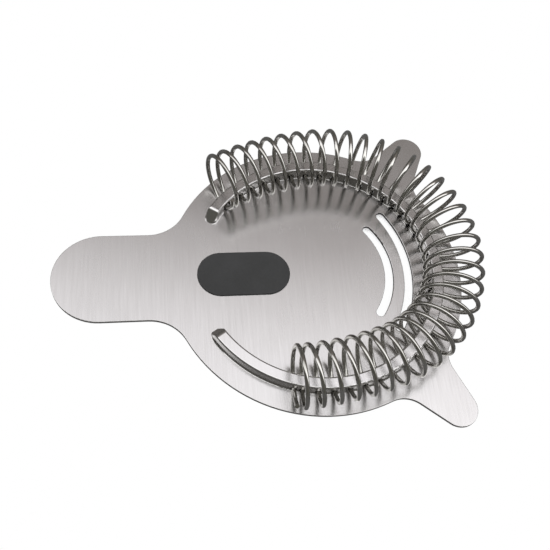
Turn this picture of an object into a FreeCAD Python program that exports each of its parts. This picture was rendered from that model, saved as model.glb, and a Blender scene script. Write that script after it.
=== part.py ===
"""Hawthorne strainer: a stamped steel plate, the coil spring round its front and its rubber finger pad.

Everything is drawn about the centre of the round body, on the face that carries the spring,
with the pouring side towards +X. It is moved to its place in the shared frame on export.
"""
import FreeCAD, Part
import math
import os

Vector = FreeCAD.Vector
UP = Vector(0, 0, 1)

# Centre of the round body's spring-side face, seen from the middle of the object's base
BODY_PLACE = Vector(13.205, 0, 2.5)

# Plate: round body, handle and ears
SHEET = 0.9
SHEET_EDGE_ROUND = 0.15
BODY_RADIUS = 40.0
HANDLE_HALF_WIDTH = 12.6
HANDLE_REACH = 69.8
NECK_FILLET = 10.7
EAR_TIP = Vector(31.8, 39.8, 0)
EAR_TIP_RADIUS = 4.8
EAR_BACK_SIDE_ANGLE = 39.0
EAR_FRONT_SIDE_ANGLE = 66.3
EAR_SIDE_LENGTH = 20.0
EAR_ROOT_FILLET = 7.0

# Crescent pour slots: centre behind the body's centre, mid-line radius, half angle
SLOT_WIDTH = 2.35
INNER_SLOT = (1.4, 21.35, 36.5)
OUTER_SLOT = (7.05, 32.3, 32.0)

# Rail drawn up out of the sheet
RAIL_RADIUS = 32.6
RAIL_END_ANGLE = 147.3
RAIL_END_SLOPE = 54.0
RAIL_END_FOOT = 1.75
RAIL_END_ROUND = 1.6
RAIL_HEIGHT = 3.2
RAIL_FOOT_HALF_WIDTH = 1.65
RAIL_TOP_HALF_WIDTH = 1.55
RAIL_TOP_CORNER = 0.45
RAIL_FOOT_FILLET = 0.35
RAIL_SKIN = 0.8
CHANNEL_TAPER = 0.05
CHANNEL_ROOF_CORNER = 0.3
CHANNEL_MOUTH_ROUND = 0.4
RAMP_BLOCK = 12.0

# Windows at the rail's foot, one in each wall for each pass of the wire
WINDOW_GAP = 0.2
WINDOW_TOP_GAP = 0.05
WINDOW_CORNER = 0.5
WINDOW_REACH = 2.8
CROSSING_STEPS = 40

# Spring wire and coil
WIRE_RADIUS = 0.575
COIL_RADIUS = 7.46
COIL_CLEARANCE = 0.1
COIL_HEIGHT = COIL_CLEARANCE + WIRE_RADIUS + COIL_RADIUS

# Bend of the coil round the body: a front arc with a slacker tail at each end
BEND_MIDDLE_ANGLE = 12.85
BEND_CENTRE_OFFSET = 4.8
BEND_RADIUS = 30.7
BEND_HALF_LENGTH = 45.1
TAIL_RADIUS = 83.0

# Winding: start of the wire, then the pitch at each count of turns from that start.
# The end turns are closed up, and the turns along the +Y side are a little wider apart than the rest.
WIRE_START_ALONG = -72.85
WIRE_START_ANGLE = -190.0
WIRE_TURNS = 36.42
END_PITCH = 1.3
FIRST_PITCH = 4.0
SIDE_PITCH = 4.22
FRONT_PITCH = 3.94
PITCH_BY_TURN = (
    (0.0, END_PITCH),
    (0.83, END_PITCH),
    (1.1, FIRST_PITCH),
    (5.0, FIRST_PITCH),
    (6.0, SIDE_PITCH),
    (19.4, SIDE_PITCH),
    (19.7, FRONT_PITCH),
    (35.3, FRONT_PITCH),
    (35.8, END_PITCH),
    (37.0, END_PITCH),
)
POINTS_PER_TURN = 8

# Finger pad: stadium flanges on both faces and a waist through the plate
PAD_CENTRE_X = -19.8
PAD_VISIBLE_LENGTH = 24.8
PAD_VISIBLE_WIDTH = 12.8
PAD_VISIBLE_RISE = 0.4
PAD_VISIBLE_ROUND = 0.2
PAD_GRIP_LENGTH = 27.6
PAD_GRIP_WIDTH = 15.6
PAD_GRIP_RISE = 1.6
PAD_GRIP_ROUND = 0.6
PAD_WAIST_LENGTH = 21.6
PAD_WAIST_WIDTH = 9.6
PAD_WAIST_GAP = 0.03


def direction(degrees):
    """Unit vector in the plate's plane, turned from +X towards +Y."""
    radians = math.radians(degrees)
    return Vector(math.cos(radians), math.sin(radians), 0)


def stadium(length, width, low, high, centre_x):
    """Upright block with straight sides and round ends, lying along X."""
    radius = width / 2
    half = length / 2 - radius
    right_top = Vector(centre_x + half, radius, low)
    left_top = Vector(centre_x - half, radius, low)
    left_bottom = Vector(centre_x - half, -radius, low)
    right_bottom = Vector(centre_x + half, -radius, low)
    left_end = Vector(centre_x - half - radius, 0, low)
    right_end = Vector(centre_x + half + radius, 0, low)
    outline = Part.Wire([
        Part.makeLine(right_top, left_top),
        Part.Arc(left_top, left_end, left_bottom).toShape(),
        Part.makeLine(left_bottom, right_bottom),
        Part.Arc(right_bottom, right_end, right_top).toShape(),
    ])
    return Part.Face(outline).extrude(Vector(0, 0, high - low))


def flat_edges(shape, heights):
    """Edges that lie wholly at one of the given heights."""
    found = []
    for edge in shape.Edges:
        box = edge.BoundBox
        for height in heights:
            if abs(box.ZMin - height) < 1e-4 and abs(box.ZMax - height) < 1e-4:
                found.append(edge)
    return found


def ear():
    """Blank of the +Y ear: two straight sides tangent to a round tip."""
    back_side = direction(EAR_BACK_SIDE_ANGLE)
    front_side = direction(EAR_FRONT_SIDE_ANGLE)
    back_normal = direction(EAR_BACK_SIDE_ANGLE + 90)
    front_normal = direction(EAR_FRONT_SIDE_ANGLE - 90)
    back_tip = EAR_TIP + back_normal * EAR_TIP_RADIUS
    front_tip = EAR_TIP + front_normal * EAR_TIP_RADIUS
    outermost = EAR_TIP + (back_side + front_side).normalize() * EAR_TIP_RADIUS
    back_root = back_tip - back_side * EAR_SIDE_LENGTH
    front_root = front_tip - front_side * EAR_SIDE_LENGTH
    outline = Part.Wire([
        Part.makeLine(back_root, back_tip),
        Part.Arc(back_tip, outermost, front_tip).toShape(),
        Part.makeLine(front_tip, front_root),
        Part.makeLine(front_root, back_root),
    ])
    blank = Part.Face(outline).extrude(Vector(0, 0, SHEET))
    blank.translate(Vector(0, 0, -SHEET))
    return blank


def concave_corner_edges(shape):
    """Upright edges where the body's rim meets the handle and the ears."""
    neck = []
    roots = []
    for edge in shape.Edges:
        box = edge.BoundBox
        if box.ZLength < SHEET * 0.9 or box.XLength > 0.01 or box.YLength > 0.01:
            continue
        middle = box.Center
        from_centre = math.hypot(middle.x, middle.y)
        if abs(from_centre - BODY_RADIUS) > 0.05:
            continue
        if middle.x < 0:
            neck.append(edge)
        else:
            roots.append(edge)
    return neck, roots


def plate_blank():
    """Flat outline of the plate, with its large fillets."""
    body = Part.makeCylinder(BODY_RADIUS, SHEET, Vector(0, 0, -SHEET))
    handle_length = HANDLE_REACH + HANDLE_HALF_WIDTH
    handle_centre = -HANDLE_REACH + handle_length / 2
    handle = stadium(handle_length, 2 * HANDLE_HALF_WIDTH, -SHEET, 0, handle_centre)
    upper_ear = ear()
    lower_ear = upper_ear.mirror(Vector(0, 0, 0), Vector(0, 1, 0))
    blank = body.fuse([handle, upper_ear, lower_ear]).removeSplitter()
    neck, roots = concave_corner_edges(blank)
    blank = blank.makeFillet(NECK_FILLET, neck)
    neck, roots = concave_corner_edges(blank)
    roots = [edge for edge in roots if abs(edge.BoundBox.Center.y) > 10]
    return blank.makeFillet(EAR_ROOT_FILLET, roots)


def crescent(behind, radius, half_angle):
    """Cutter for one curved slot with round ends."""
    centre = Vector(-behind, 0, 0)
    inner = radius - SLOT_WIDTH / 2
    outer = radius + SLOT_WIDTH / 2
    low_side = direction(-half_angle)
    high_side = direction(half_angle)
    low_tip = low_side * radius + direction(-half_angle - 90) * (SLOT_WIDTH / 2)
    high_tip = high_side * radius + direction(half_angle + 90) * (SLOT_WIDTH / 2)
    outline = Part.Wire([
        Part.Arc(low_side * outer, Vector(outer, 0, 0), high_side * outer).toShape(),
        Part.Arc(high_side * outer, high_tip, high_side * inner).toShape(),
        Part.Arc(high_side * inner, Vector(inner, 0, 0), low_side * inner).toShape(),
        Part.Arc(low_side * inner, low_tip, low_side * outer).toShape(),
    ])
    cutter = Part.Face(outline).extrude(Vector(0, 0, 3 * SHEET))
    cutter.translate(centre + Vector(0, 0, -2 * SHEET))
    return cutter


def rib_side(bottom, foot, foot_round, wall_low, top_half, top, corner):
    """Edges of one side of a rib's section, from its bottom centre to its top centre."""
    quarter = math.sqrt(0.5)
    foot_out = Vector(foot + foot_round, 0, wall_low)
    foot_mid = Vector(foot + foot_round * (1 - quarter), 0, wall_low + foot_round * (1 - quarter))
    foot_in = Vector(foot, 0, wall_low + foot_round)
    corner_low = Vector(top_half, 0, top - corner)
    corner_mid = Vector(top_half - corner * (1 - quarter), 0, top - corner * (1 - quarter))
    corner_in = Vector(top_half - corner, 0, top)
    return [
        Part.makeLine(Vector(0, 0, bottom), Vector(foot + foot_round, 0, bottom)),
        Part.makeLine(Vector(foot + foot_round, 0, bottom), foot_out),
        Part.Arc(foot_out, foot_mid, foot_in).toShape(),
        Part.makeLine(foot_in, corner_low),
        Part.Arc(corner_low, corner_mid, corner_in).toShape(),
        Part.makeLine(corner_in, Vector(0, 0, top)),
    ]


def end_ramp(side_sign, foot, top, top_round):
    """Cutter that leaves a rib's end rounding over from its top to slope down to its foot."""
    slope = math.radians(RAIL_END_SLOPE)
    brink = foot - top / math.tan(slope)
    tangent = top_round * math.tan(slope / 2)
    round_start = Vector(brink - tangent, 0, top)
    round_middle = round_start + Vector(math.sin(slope / 2), 0, math.cos(slope / 2) - 1) * top_round
    round_end = Vector(brink + tangent * math.cos(slope), 0, top - tangent * math.sin(slope))
    ramp_end = Vector(foot + RAMP_BLOCK / math.tan(slope), 0, -RAMP_BLOCK)
    outline = Part.Wire([
        Part.Arc(round_start, round_middle, round_end).toShape(),
        Part.makeLine(round_end, ramp_end),
        Part.makeLine(ramp_end, Vector(2 * RAMP_BLOCK, 0, -RAMP_BLOCK)),
        Part.makeLine(Vector(2 * RAMP_BLOCK, 0, -RAMP_BLOCK), Vector(2 * RAMP_BLOCK, 0, RAMP_BLOCK)),
        Part.makeLine(Vector(2 * RAMP_BLOCK, 0, RAMP_BLOCK), Vector(round_start.x, 0, RAMP_BLOCK)),
        Part.makeLine(Vector(round_start.x, 0, RAMP_BLOCK), round_start),
    ])
    block = Part.Face(outline).extrude(Vector(0, RAMP_BLOCK, 0))
    block.translate(Vector(0, -RAMP_BLOCK / 2, 0))
    block.rotate(Vector(0, 0, 0), UP, side_sign * (RAIL_END_ANGLE + 90))
    block.translate(direction(side_sign * RAIL_END_ANGLE) * RAIL_RADIUS)
    return block


def curved_rib(foot, top_round, *section):
    """C-shaped rib round the body, with sloping ends, from half of its section."""
    top = section[5]
    bottom = section[0]
    side = rib_side(*section)
    half = Part.Face(Part.Wire(side + [Part.makeLine(Vector(0, 0, top), Vector(0, 0, bottom))]))
    mirrored = [edge.mirror(Vector(0, 0, 0), Vector(1, 0, 0)) for edge in side]
    whole = Part.Face(Part.Wire(Part.__sortEdges__(side + mirrored)))
    whole.translate(Vector(RAIL_RADIUS, 0, 0))
    whole.rotate(Vector(0, 0, 0), UP, -RAIL_END_ANGLE)
    pieces = [whole.revolve(Vector(0, 0, 0), UP, 2 * RAIL_END_ANGLE)]
    for side_sign in (-1, 1):
        cap = half.revolve(Vector(0, 0, 0), UP, 360)
        cap.translate(direction(side_sign * RAIL_END_ANGLE) * RAIL_RADIUS)
        pieces.append(cap)
    ramps = [end_ramp(side_sign, foot, top, top_round) for side_sign in (-1, 1)]
    return pieces[0].fuse(pieces[1:]).cut(ramps)


def outward_angle(along):
    """Direction from the bend's centre to the coil, at a distance along the coil from its middle."""
    beyond = max(0.0, abs(along) - BEND_HALF_LENGTH)
    within = min(abs(along), BEND_HALF_LENGTH)
    turned = math.degrees(within / BEND_RADIUS + beyond / TAIL_RADIUS)
    return BEND_MIDDLE_ANGLE - math.copysign(turned, along)


def bend_point(along):
    """Point on the coil's centre line, at a distance along it from its middle."""
    centre = direction(BEND_MIDDLE_ANGLE) * BEND_CENTRE_OFFSET
    within = math.copysign(min(abs(along), BEND_HALF_LENGTH), along)
    point = centre + direction(outward_angle(within)) * BEND_RADIUS
    if abs(along) > BEND_HALF_LENGTH:
        tail_centre = point - direction(outward_angle(within)) * TAIL_RADIUS
        point = tail_centre + direction(outward_angle(along)) * TAIL_RADIUS
    return point + UP * COIL_HEIGHT


def along_at_turn(turn):
    """Distance along the coil reached after a count of turns from the wire's start."""
    along = WIRE_START_ALONG
    for (start, start_pitch), (end, end_pitch) in zip(PITCH_BY_TURN, PITCH_BY_TURN[1:]):
        if turn <= start:
            break
        part = min(turn, end) - start
        pitch_here = start_pitch + (end_pitch - start_pitch) * part / (end - start)
        along += part * (start_pitch + pitch_here) / 2
    return along


def wire_point(turn):
    """Point on the wire's centre line after a count of turns."""
    along = along_at_turn(turn)
    angle = math.radians(WIRE_START_ANGLE + 360 * turn)
    outward = direction(outward_angle(along))
    return bend_point(along) + outward * (COIL_RADIUS * math.cos(angle)) + UP * (COIL_RADIUS * math.sin(angle))


def wire_heading(turn):
    """Unit direction of the wire after a count of turns."""
    step = 1e-4
    return (wire_point(turn + step) - wire_point(turn - step)).normalize()


def spring():
    """Round wire swept along the bent coil, one smooth span for each turn."""
    steps = round(POINTS_PER_TURN * WIRE_TURNS)
    turns = [WIRE_TURNS * step / steps for step in range(steps + 1)]
    whole = Part.BSplineCurve()
    whole.interpolate(Points=[wire_point(turn) for turn in turns], Parameters=turns)
    ends = [float(count) for count in range(int(WIRE_TURNS) + 1)] + [WIRE_TURNS]
    spans = []
    for start, end in zip(ends, ends[1:]):
        span = whole.copy()
        span.segment(start, end)
        spans.append(span.toShape())
    section = Part.Wire(Part.makeCircle(WIRE_RADIUS, wire_point(0), wire_heading(0)))
    return Part.Wire(spans).makePipeShell([section], True, True)


def crossing(turn_count, radius):
    """Count of turns at which the lower half of one turn passes this far from the body's centre."""
    inner = (180 - WIRE_START_ANGLE) / 360 + turn_count - 1
    outer = min(inner + 0.5, WIRE_TURNS)
    for _ in range(CROSSING_STEPS):
        middle = (inner + outer) / 2
        point = wire_point(middle)
        if math.hypot(point.x, point.y) < radius:
            inner = middle
        else:
            outer = middle
    return inner


def wire_top(turn):
    """Height of the top of the sloping wire, straight above its centre line."""
    heading = wire_heading(turn)
    return wire_point(turn).z + WIRE_RADIUS / math.hypot(heading.x, heading.y)


def window_cutter(turn_count, side):
    """Cutter for one pass of the wire, from the rail's mid-line out through its inner (-1) or outer (1) wall."""
    turn = crossing(turn_count, RAIL_RADIUS)
    outside = crossing(turn_count, RAIL_RADIUS + side * RAIL_FOOT_HALF_WIDTH)
    inside = crossing(turn_count, RAIL_RADIUS + side * (RAIL_FOOT_HALF_WIDTH - RAIL_SKIN))
    height = max(wire_top(outside), wire_top(inside)) + WINDOW_TOP_GAP
    point = wire_point(turn)
    heading = wire_heading(turn)
    heading.z = 0
    heading.normalize()
    across = UP.cross(heading)
    start = Vector(point.x, point.y, 0)
    half = WIRE_RADIUS + WINDOW_GAP
    inset = WINDOW_CORNER * (1 - math.sqrt(0.5))
    low_left = start - across * half
    low_right = start + across * half
    high_left = low_left + UP * (height - WINDOW_CORNER)
    high_right = low_right + UP * (height - WINDOW_CORNER)
    top_left = low_left + across * WINDOW_CORNER + UP * height
    top_right = low_right - across * WINDOW_CORNER + UP * height
    corner_left = low_left + across * inset + UP * (height - inset)
    corner_right = low_right - across * inset + UP * (height - inset)
    outline = Part.Wire([
        Part.makeLine(low_right, low_left),
        Part.makeLine(low_left, high_left),
        Part.Arc(high_left, corner_left, top_left).toShape(),
        Part.makeLine(top_left, top_right),
        Part.Arc(top_right, corner_right, high_right).toShape(),
        Part.makeLine(high_right, low_right),
    ])
    return Part.Face(outline).extrude(heading * (side * WINDOW_REACH))


def plate():
    """The whole stamping."""
    blank = plate_blank()
    waist_slot = stadium(
        PAD_WAIST_LENGTH + 2 * PAD_WAIST_GAP,
        PAD_WAIST_WIDTH + 2 * PAD_WAIST_GAP,
        -2 * SHEET,
        SHEET,
        PAD_CENTRE_X,
    )
    blank = blank.cut([crescent(*INNER_SLOT), crescent(*OUTER_SLOT)])
    blank = blank.makeFillet(SHEET_EDGE_ROUND, flat_edges(blank, (0, -SHEET)))
    blank = blank.cut(waist_slot)
    rail = curved_rib(
        RAIL_END_FOOT,
        RAIL_END_ROUND,
        -SHEET / 2,
        RAIL_FOOT_HALF_WIDTH,
        RAIL_FOOT_FILLET,
        0,
        RAIL_TOP_HALF_WIDTH,
        RAIL_HEIGHT,
        RAIL_TOP_CORNER,
    )
    channel_half_width = RAIL_FOOT_HALF_WIDTH - RAIL_SKIN
    channel = curved_rib(
        RAIL_END_FOOT - RAIL_SKIN / math.sin(math.radians(RAIL_END_SLOPE)),
        RAIL_END_ROUND - RAIL_SKIN,
        -2 * SHEET,
        channel_half_width,
        CHANNEL_MOUTH_ROUND,
        -SHEET,
        channel_half_width - CHANNEL_TAPER,
        RAIL_HEIGHT - RAIL_SKIN,
        CHANNEL_ROOF_CORNER,
    )
    windows = []
    for turn_count in range(int(WIRE_TURNS) + 1):
        windows += [window_cutter(turn_count, -1), window_cutter(turn_count, 1)]
    return blank.fuse(rail).cut(channel).cut(windows).removeSplitter()


def finger_pad():
    """Rubber pad with a flange on each face of the plate."""
    visible = stadium(PAD_VISIBLE_LENGTH, PAD_VISIBLE_WIDTH, 0, PAD_VISIBLE_RISE, PAD_CENTRE_X)
    visible = visible.makeFillet(PAD_VISIBLE_ROUND, flat_edges(visible, (PAD_VISIBLE_RISE,)))
    grip_bottom = -SHEET - PAD_GRIP_RISE
    grip = stadium(PAD_GRIP_LENGTH, PAD_GRIP_WIDTH, grip_bottom, -SHEET, PAD_CENTRE_X)
    grip = grip.makeFillet(PAD_GRIP_ROUND, flat_edges(grip, (grip_bottom,)))
    waist = stadium(PAD_WAIST_LENGTH, PAD_WAIST_WIDTH, -SHEET, 0, PAD_CENTRE_X)
    return visible.fuse([waist, grip]).removeSplitter()


os.makedirs("parts", exist_ok=True)
pieces = {
    "plate": plate(),
    "spring": spring(),
    "finger_pad": finger_pad(),
}
for name, shape in pieces.items():
    shape.translate(BODY_PLACE)
    shape.exportStep("parts/" + name + ".step")
    box = shape.BoundBox
    print(name, shape.ShapeType, len(shape.Solids), "valid", shape.isValid(), "volume", round(shape.Volume, 2))
    print("   x", round(box.XMin, 3), round(box.XMax, 3), "y", round(box.YMin, 3), round(box.YMax, 3))
    print("   z", round(box.ZMin, 3), round(box.ZMax, 3), "faces", len(shape.Faces))
overlap = pieces["plate"].common(pieces["spring"]).Volume
print("plate and spring overlap", round(overlap, 6))
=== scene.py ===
import math

import bpy
from mathutils import Euler, Matrix, Vector


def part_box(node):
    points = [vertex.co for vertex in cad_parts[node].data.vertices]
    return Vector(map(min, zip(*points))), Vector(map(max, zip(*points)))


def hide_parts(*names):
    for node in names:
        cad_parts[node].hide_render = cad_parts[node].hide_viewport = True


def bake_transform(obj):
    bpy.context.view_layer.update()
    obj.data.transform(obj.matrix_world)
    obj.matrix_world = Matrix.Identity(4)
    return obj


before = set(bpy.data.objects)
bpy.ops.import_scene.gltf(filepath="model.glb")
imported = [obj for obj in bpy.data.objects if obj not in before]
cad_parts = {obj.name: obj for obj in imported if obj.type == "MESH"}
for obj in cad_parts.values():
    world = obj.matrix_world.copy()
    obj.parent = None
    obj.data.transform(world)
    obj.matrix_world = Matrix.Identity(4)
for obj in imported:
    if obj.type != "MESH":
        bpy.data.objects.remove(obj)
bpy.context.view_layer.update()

bpy.ops.object.select_all(action="DESELECT")


# Plate: one blank of stainless sheet, stamped to its outline with the two crescent slots,
# with the rail drawn up out of it. The flat is brushed straight across the handle, and the
# drawing has burnished the rail and rubbed out most of its brushing.
plate_low, plate_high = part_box("plate")
SHEET = 0.0009
sheet_face = plate_low.z + SHEET

STEEL_LIGHT = (0.63, 0.62, 0.615, 1)
STEEL_DARK = (0.585, 0.573, 0.567, 1)
LINES_PER_METRE = 5200.0
LINE_RUN = 110.0
PLATE_PATCHES_PER_METRE = 55.0
BURNISH_START = 0.0003
BURNISH_FULL = 0.0012
RAIL_LINE_SHARE = 0.35
PLATE_SMOOTHEST = 0.22
PLATE_ROUGHEST = 0.255
MARK_ROUGHNESS = 0.04
BURNISHED_OFF = 0.06
LINE_DEPTH = 0.00001
LINE_DEPTH_SHARE = 0.09


def add(tree, kind, **settings):
    """A node of that kind, with its settings."""
    node = tree.nodes.new(kind)
    for name, value in settings.items():
        setattr(node, name, value)
    return node


def feed(tree, node, **inputs):
    """Sets a node's inputs, by name or by _number, each to a value or to another node's output."""
    for name, value in inputs.items():
        if name[0] == "_":
            socket = node.inputs[int(name[1:])]
        else:
            socket = node.inputs[name.replace("_", " ")]
        if isinstance(value, bpy.types.NodeSocket):
            tree.links.new(value, socket)
        else:
            socket.default_value = value
    return node


def math_node(tree, operation, first, second):
    """The result of one sum."""
    node = add(tree, "ShaderNodeMath", operation=operation)
    feed(tree, node, _0=first, _1=second)
    return node.outputs[0]


def remap(tree, value, low, high, to_low, to_high):
    """A value moved from one range to another, held within it."""
    node = add(tree, "ShaderNodeMapRange")
    feed(tree, node, Value=value, From_Min=low, From_Max=high, To_Min=to_low, To_Max=to_high)
    return node.outputs[0]


def blend_colours(tree, share, first, second):
    """Two colours mixed, with this share of the second."""
    node = add(tree, "ShaderNodeMix", data_type="RGBA")
    feed(tree, node, _0=share, _6=first, _7=second)
    return node.outputs[2]


def new_group(name, inputs, outputs):
    """An empty node group with a place on the object and numbers going in, and numbers coming out."""
    group = bpy.data.node_groups.new(name, "ShaderNodeTree")
    group.interface.new_socket("Place", in_out="INPUT", socket_type="NodeSocketVector")
    for label in inputs:
        group.interface.new_socket(label, in_out="INPUT", socket_type="NodeSocketFloat")
    for label in outputs:
        group.interface.new_socket(label, in_out="OUTPUT", socket_type="NodeSocketFloat")
    return group, group.nodes.new("NodeGroupInput"), group.nodes.new("NodeGroupOutput")


def stretched_noise(tree, place, across, along, detail, roughness):
    """Noise drawn out along Y: its marks are 1/across wide and 1/along long."""
    parts = feed(tree, add(tree, "ShaderNodeSeparateXYZ"), Vector=place)
    joined = add(tree, "ShaderNodeCombineXYZ")
    feed(tree, joined, X=math_node(tree, "MULTIPLY", parts.outputs["X"], across))
    feed(tree, joined, Y=math_node(tree, "MULTIPLY", parts.outputs["Y"], along))
    feed(tree, joined, Z=math_node(tree, "MULTIPLY", parts.outputs["Z"], across))
    noise = add(tree, "ShaderNodeTexNoise")
    feed(tree, noise, Vector=joined.outputs[0], Scale=1.0, Detail=detail, Roughness=roughness)
    return noise.outputs["Fac"]


# Brushing: lines along Y, coarse and longer ones mixed with fine ones
COARSE_SCALE = 0.3
COARSE_RUN = 0.5
FINE_SHARE = 0.6
FINE_DETAIL = 3.0
FINE_BREAKUP = 0.6
COARSE_DETAIL = 2.0
COARSE_BREAKUP = 0.5
FAINTEST_LINE = 0.35
STRONGEST_LINE = 0.65
group_inputs = ["Lines per metre", "Run"]
brushing, brushing_in, brushing_out = new_group("straight_brushing", group_inputs, ["Shade", "Height"])
line_place = brushing_in.outputs["Place"]
across = brushing_in.outputs["Lines per metre"]
along = brushing_in.outputs["Run"]
fine_lines = stretched_noise(brushing, line_place, across, along, FINE_DETAIL, FINE_BREAKUP)
coarse_across = math_node(brushing, "MULTIPLY", across, COARSE_SCALE)
coarse_along = math_node(brushing, "MULTIPLY", along, COARSE_RUN)
coarse_lines = stretched_noise(
    brushing,
    line_place,
    coarse_across,
    coarse_along,
    COARSE_DETAIL,
    COARSE_BREAKUP,
)
fine_part = math_node(brushing, "MULTIPLY", fine_lines, FINE_SHARE)
coarse_part = math_node(brushing, "MULTIPLY", coarse_lines, 1 - FINE_SHARE)
both_lines = math_node(brushing, "ADD", fine_part, coarse_part)
shade = remap(brushing, both_lines, FAINTEST_LINE, STRONGEST_LINE, 0.0, 1.0)
brushing.links.new(shade, brushing_out.inputs["Shade"])
brushing.links.new(fine_lines, brushing_out.inputs["Height"])

# Handling marks: soft patches where fingers and a cloth have been
PATCH_DETAIL = 4.0
PATCH_BREAKUP = 0.55
PATCH_WANDER = 0.4
PATCH_EDGE = 0.4
PATCH_MIDDLE = 0.7
handling, handling_in, handling_out = new_group("handling_marks", ["Patches per metre"], ["Mask"])
patches = add(handling, "ShaderNodeTexNoise")
feed(handling, patches, Vector=handling_in.outputs["Place"], Scale=handling_in.outputs["Patches per metre"])
feed(handling, patches, Detail=PATCH_DETAIL, Roughness=PATCH_BREAKUP, Distortion=PATCH_WANDER)
mask = remap(handling, patches.outputs["Fac"], PATCH_EDGE, PATCH_MIDDLE, 0.0, 1.0)
handling.links.new(mask, handling_out.inputs["Mask"])


def new_material(name):
    """A material with its tree, its shader and its place on the object."""
    material = bpy.data.materials.new(name)
    material.use_nodes = True
    tree = material.node_tree
    shader = tree.nodes["Principled BSDF"]
    place = add(tree, "ShaderNodeTexCoord").outputs["Object"]
    return material, tree, shader, place


def place_group(tree, group, place, **values):
    """A group node, reading the place on the object."""
    node = add(tree, "ShaderNodeGroup", node_tree=group)
    return feed(tree, node, Place=place, **values)


plate_steel, tree, shader, place = new_material("brushed_stainless")
lines = place_group(tree, brushing, place, Lines_per_metre=LINES_PER_METRE, Run=LINE_RUN)
marks = place_group(tree, handling, place, Patches_per_metre=PLATE_PATCHES_PER_METRE)
height = feed(tree, add(tree, "ShaderNodeSeparateXYZ"), Vector=place).outputs["Z"]
on_rail = remap(tree, height, sheet_face + BURNISH_START, sheet_face + BURNISH_FULL, 0.0, 1.0)
on_flat = math_node(tree, "SUBTRACT", 1.0, on_rail)
lines_left = remap(tree, on_rail, 0.0, 1.0, 1.0, RAIL_LINE_SHARE)
line_share = math_node(tree, "MULTIPLY", lines.outputs["Shade"], lines_left)
feed(tree, shader, Base_Color=blend_colours(tree, line_share, STEEL_LIGHT, STEEL_DARK))
line_roughness = remap(tree, lines.outputs["Shade"], 0.0, 1.0, PLATE_SMOOTHEST, PLATE_ROUGHEST)
mark_roughness = math_node(tree, "MULTIPLY", marks.outputs["Mask"], MARK_ROUGHNESS)
flat_roughness = math_node(tree, "ADD", line_roughness, mark_roughness)
burnished = math_node(tree, "MULTIPLY", on_rail, BURNISHED_OFF)
feed(tree, shader, Roughness=math_node(tree, "SUBTRACT", flat_roughness, burnished))
shader.inputs["Metallic"].default_value = 1.0
bump = add(tree, "ShaderNodeBump")
feed(tree, bump, Height=math_node(tree, "MULTIPLY", lines.outputs["Height"], on_flat))
feed(tree, bump, Strength=LINE_DEPTH_SHARE, Distance=LINE_DEPTH)
feed(tree, shader, Normal=bump.outputs[0])

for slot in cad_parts["plate"].material_slots:
    slot.material = plate_steel


# Spring: one length of bright drawn stainless wire, wound to the right as a straight coil with its
# end turns closed up, then bent round the body and threaded through the windows under the rail.
# Its front turns lean back over the rail when a finger or the tin's wall presses them.
BODY_RADIUS = 0.040
BODY_CENTRE = Vector((plate_high.x - BODY_RADIUS, 0, sheet_face))
WIRE_RADIUS = 0.000575
COIL_RADIUS = 0.00746
COIL_CLEARANCE = 0.0001
COIL_HEIGHT = COIL_CLEARANCE + WIRE_RADIUS + COIL_RADIUS
BEND_MIDDLE = math.radians(12.85)
BEND_CENTRE_OFFSET = 0.0048
BEND_RADIUS = 0.0307
BEND_HALF_LENGTH = 0.0451
TAIL_RADIUS = 0.083
WIRE_START = -0.07285
WIRE_START_ANGLE = math.radians(-190)
WIRE_TURNS = 36.42
END_PITCH = 0.0013
FIRST_PITCH = 0.004
SIDE_PITCH = 0.00422
FRONT_PITCH = 0.00394
PITCH_BY_TURN = (
    (0, END_PITCH),
    (0.83, END_PITCH),
    (1.1, FIRST_PITCH),
    (5, FIRST_PITCH),
    (6, SIDE_PITCH),
    (19.4, SIDE_PITCH),
    (19.7, FRONT_PITCH),
    (35.3, FRONT_PITCH),
    (35.8, END_PITCH),
    (37, END_PITCH),
)
STEPS_PER_TURN = 40
WIRE_ROUND_STEPS = 4
SAME_POINT = 0.000001
CREASE = math.radians(40)

WIRE_LIGHT = (0.58, 0.57, 0.545, 1)
WIRE_DARK = (0.44, 0.43, 0.40, 1)
WIRE_PATCHES_PER_METRE = 240.0
WIRE_SMOOTHEST = 0.09
WIRE_ROUGHEST = 0.16


def outward(along):
    """Unit direction from the bend's centre to the coil, at a distance along the coil."""
    within = min(abs(along), BEND_HALF_LENGTH)
    beyond = max(0.0, abs(along) - BEND_HALF_LENGTH)
    angle = BEND_MIDDLE - math.copysign(within / BEND_RADIUS + beyond / TAIL_RADIUS, along)
    return Vector((math.cos(angle), math.sin(angle), 0))


def coil_middle(along):
    """Point on the coil's centre line, at a distance along it from the front."""
    centre = Vector((math.cos(BEND_MIDDLE), math.sin(BEND_MIDDLE), 0)) * BEND_CENTRE_OFFSET
    within = math.copysign(min(abs(along), BEND_HALF_LENGTH), along)
    point = centre + outward(within) * BEND_RADIUS
    return point + (outward(along) - outward(within)) * TAIL_RADIUS + Vector((0, 0, COIL_HEIGHT))


def along_coil(turn):
    """Distance along the coil reached after a count of turns, summed over the stretches of even pitch."""
    along = WIRE_START
    for (start, pitch), (end, next_pitch) in zip(PITCH_BY_TURN, PITCH_BY_TURN[1:]):
        if turn <= start:
            break
        part = min(turn, end) - start
        pitch_here = pitch + (next_pitch - pitch) * part / (end - start)
        along += part * (pitch + pitch_here) / 2
    return along


def wire_point(turn):
    """Point on the wire's centre line after a count of turns."""
    along = along_coil(turn)
    angle = WIRE_START_ANGLE + math.tau * turn
    point = coil_middle(along) + outward(along) * (COIL_RADIUS * math.cos(angle))
    return BODY_CENTRE + point + Vector((0, 0, COIL_RADIUS * math.sin(angle)))


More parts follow.
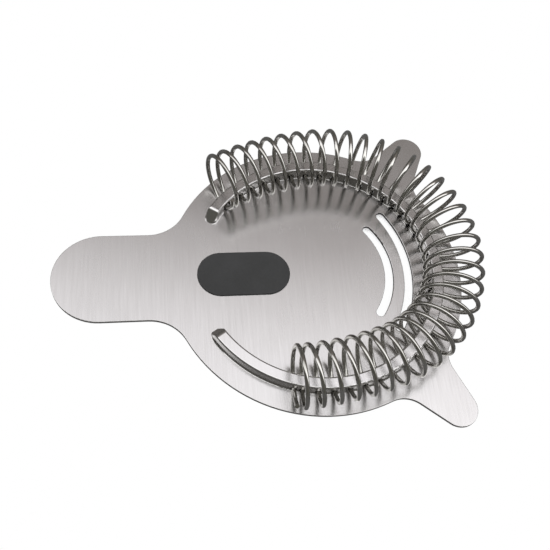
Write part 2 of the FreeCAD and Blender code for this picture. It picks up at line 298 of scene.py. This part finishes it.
bpy.ops.curve.primitive_nurbs_path_add(location=(0, 0, 0))
spring = bpy.context.object
spring.name = "coil_spring"
path = spring.data
path.splines.clear()
wire = path.splines.new("POLY")
steps = round(STEPS_PER_TURN * WIRE_TURNS)
wire.points.add(steps)
for step in range(steps + 1):
    wire.points[step].co = (*wire_point(WIRE_TURNS * step / steps), 1)
path.dimensions = "3D"
path.bevel_depth = WIRE_RADIUS
path.bevel_resolution = WIRE_ROUND_STEPS
path.use_fill_caps = True
bpy.ops.object.convert(target="MESH")
spring = bpy.context.object
bpy.ops.object.mode_set(mode="EDIT")
bpy.ops.mesh.select_all(action="SELECT")
bpy.ops.mesh.remove_doubles(threshold=SAME_POINT)
bpy.ops.mesh.normals_make_consistent(inside=False)
bpy.ops.object.mode_set(mode="OBJECT")
bpy.ops.object.shade_smooth_by_angle(angle=CREASE)

wire_steel, tree, shader, place = new_material("drawn_wire")
marks = place_group(tree, handling, place, Patches_per_metre=WIRE_PATCHES_PER_METRE)
feed(tree, shader, Base_Color=blend_colours(tree, marks.outputs["Mask"], WIRE_LIGHT, WIRE_DARK))
feed(tree, shader, Roughness=remap(tree, marks.outputs["Mask"], 0.0, 1.0, WIRE_SMOOTHEST, WIRE_ROUGHEST))
shader.inputs["Metallic"].default_value = 1.0
spring.data.materials.clear()
spring.data.materials.append(wire_steel)

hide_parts("spring")
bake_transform(spring)


# Finger pad: matt black moulded rubber, pushed through a slot in the plate and held by a flange on
# each side. Its skin has the fine sparkle of the mould's etched face.
RUBBER_LIGHT = (0.062, 0.063, 0.065, 1)
RUBBER_DARK = (0.05, 0.051, 0.052, 1)
PAD_PATCHES_PER_METRE = 90.0
ETCH_GRAINS_PER_METRE = 2600.0
ETCH_DETAIL = 3.0
ETCH_BREAKUP = 0.6
ETCH_LOW = 0.3
ETCH_HIGH = 0.7
ETCH_DEPTH = 0.00004
ETCH_DEPTH_SHARE = 0.3
PAD_SMOOTHEST = 0.72
PAD_ROUGHEST = 0.86
pad_rubber, tree, shader, place = new_material("moulded_rubber")
etch = add(tree, "ShaderNodeTexNoise")
feed(tree, etch, Vector=place, Scale=ETCH_GRAINS_PER_METRE, Detail=ETCH_DETAIL, Roughness=ETCH_BREAKUP)
marks = place_group(tree, handling, place, Patches_per_metre=PAD_PATCHES_PER_METRE)
feed(tree, shader, Base_Color=blend_colours(tree, marks.outputs["Mask"], RUBBER_DARK, RUBBER_LIGHT))
grain_roughness = remap(tree, etch.outputs["Fac"], ETCH_LOW, ETCH_HIGH, PAD_SMOOTHEST, PAD_ROUGHEST)
feed(tree, shader, Roughness=grain_roughness)
bump = add(tree, "ShaderNodeBump")
feed(tree, bump, Height=etch.outputs["Fac"], Strength=ETCH_DEPTH_SHARE, Distance=ETCH_DEPTH)
feed(tree, shader, Normal=bump.outputs[0])
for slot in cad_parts["finger_pad"].material_slots:
    slot.material = pad_rubber


# Table: a plain white sheet under the strainer. To the camera it glows evenly white, with painted shade
# close in under the metal taken from ambient occlusion, and it is a plain grey where the steel reflects it.
FLOOR_SIZE = 4.0
FLOOR_DROP = 0.0001
FLOOR_GREY = (0.2, 0.2, 0.2, 1)
FLOOR_ROUGHNESS = 0.9
SHADE_REACH = 0.012
SHADE_RAYS = 8
CLOSED_IN = 0.03
OPEN = 0.14
bpy.ops.mesh.primitive_plane_add(size=FLOOR_SIZE, location=(0, 0, -FLOOR_DROP))
floor = bpy.context.object
floor.name = "table"
floor_white, tree, shader, _ = new_material("white_table")
shader.inputs["Base Color"].default_value = FLOOR_GREY
shader.inputs["Roughness"].default_value = FLOOR_ROUGHNESS
# Painted shade: the camera sees the table's glow dimmed where the metal closes it in, not a cast shadow.
open_sky = feed(tree, add(tree, "ShaderNodeAmbientOcclusion", samples=SHADE_RAYS), Distance=SHADE_REACH)
painted_contact_shade = remap(tree, open_sky.outputs["AO"], CLOSED_IN, OPEN, CLOSED_IN, 1.0)
glow_with_painted_shade = feed(tree, add(tree, "ShaderNodeEmission"), Color=(1, 1, 1, 1), Strength=painted_contact_shade)
rays = add(tree, "ShaderNodeLightPath")
either = add(tree, "ShaderNodeMixShader")
feed(tree, either, _0=rays.outputs["Is Camera Ray"], _1=shader.outputs[0], _2=glow_with_painted_shade.outputs[0])
tree.links.new(either.outputs[0], tree.nodes["Material Output"].inputs["Surface"])
floor.data.materials.append(floor_white)


# Studio: one soft bank overhead that runs along X, a little askew and stronger towards +X. It falls
# off across Y to a dark room. The steel reflects both, and the camera sees a white backdrop instead.
LOWEST_UP = 0.05
ASKEW = 0.255
STRONGER_BY = 1.25
STRONGEST_AT = 0.5
BANK_START = -1.0
BANK_END = 2.0
BANK_COLOURS = (
    (-1.0, (0.12, 0.117, 0.105)),
    (-0.42, (0.13, 0.125, 0.115)),
    (-0.27, (0.35, 0.35, 0.35)),
    (-0.15, (1.8, 1.8, 1.8)),
    (0.1, (1.8, 1.8, 1.8)),
    (0.33, (1.31, 1.30, 1.34)),
    (0.44, (1.43, 1.42, 1.45)),
    (0.49, (1.28, 1.25, 1.27)),
    (0.57, (0.58, 0.54, 0.53)),
    (0.63, (0.30, 0.275, 0.265)),
    (0.9, (0.235, 0.215, 0.2)),
    (2.0, (0.13, 0.125, 0.115)),
)
world = bpy.data.worlds.new("studio")
bpy.context.scene.world = world
world.use_nodes = True
tree = world.node_tree
facing = add(tree, "ShaderNodeTexCoord").outputs["Generated"]
parts = feed(tree, add(tree, "ShaderNodeSeparateXYZ"), Vector=facing)
up = math_node(tree, "MAXIMUM", parts.outputs["Z"], LOWEST_UP)
along_bank = math_node(tree, "DIVIDE", parts.outputs["X"], up)
sideways = math_node(tree, "MULTIPLY", along_bank, ASKEW)
across_bank = math_node(tree, "ADD", math_node(tree, "DIVIDE", parts.outputs["Y"], up), sideways)
ramp = add(tree, "ShaderNodeValToRGB")
elements = ramp.color_ramp.elements
while len(elements) < len(BANK_COLOURS):
    elements.new(0.5)
for element, (position, colour) in zip(elements, BANK_COLOURS):
    element.position = (position - BANK_START) / (BANK_END - BANK_START)
    element.color = (*colour, 1)
feed(tree, ramp, Fac=remap(tree, across_bank, BANK_START, BANK_END, 0.0, 1.0))
strength = remap(tree, along_bank, 0.0, STRONGEST_AT, 1.0, STRONGER_BY)
bank = feed(tree, tree.nodes["Background"], Color=ramp.outputs["Color"], Strength=strength)
backdrop = feed(tree, add(tree, "ShaderNodeBackground"), Color=(1, 1, 1, 1), Strength=1.0)
rays = add(tree, "ShaderNodeLightPath")
seen = add(tree, "ShaderNodeMixShader")
feed(tree, seen, _0=rays.outputs["Is Camera Ray"], _1=bank.outputs[0], _2=backdrop.outputs[0])
tree.links.new(seen.outputs[0], tree.nodes["World Output"].inputs["Surface"])


# Camera: above the near side and a little to the left, looking down on the strainer with its
# handle to the left. Its turn is given as tilt, roll and heading.
CAMERA_PLACE = (-0.024114, -0.088857, 0.171917)
CAMERA_TURN = (27.8754, -6.0479, -5.0613)
SENSOR = 36
LENS = 47.154
NEAREST = 0.005
bpy.ops.object.camera_add(location=CAMERA_PLACE)
camera = bpy.context.object
turn = Euler([math.radians(degrees) for degrees in CAMERA_TURN])
camera.matrix_world = Matrix.Translation(CAMERA_PLACE) @ turn.to_matrix().to_4x4()
camera.data.sensor_width = SENSOR
camera.data.lens = LENS
camera.data.clip_start = NEAREST
bpy.context.scene.camera = camera
bpy.context.scene.view_settings.view_transform = "Standard"
